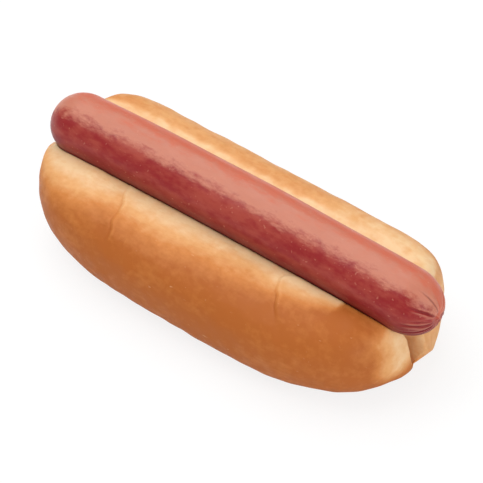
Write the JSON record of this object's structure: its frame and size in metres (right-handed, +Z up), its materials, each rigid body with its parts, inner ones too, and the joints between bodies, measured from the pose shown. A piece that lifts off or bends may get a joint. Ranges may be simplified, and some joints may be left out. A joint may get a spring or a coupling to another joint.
{
  "type": "hot dog",
  "caption": "Hot dog: a smooth cooked sausage lying in the slit of a long soft bun that is hinged along its bottom.",
  "frame": {"origin": "bottom centre of the whole hot dog, on the surface the bun rests on", "axes": "+X along the sausage and the bun, towards the sausage end with the deeper gathered folds; +Y towards the narrower, higher half of the bun; +Z up"},
  "size_m": [0.155, 0.0659, 0.0481],
  "materials": {
    "bun_crust": "golden brown baked bread crust, paler beside the slit, soft satin",
    "sausage_skin": "pinkish red cooked sausage skin, moist, soft uneven gloss"
  },
  "bodies": {
    "root": {"bun": "bun_crust", "sausage": "sausage_skin"}
  },
  "joints": []
}
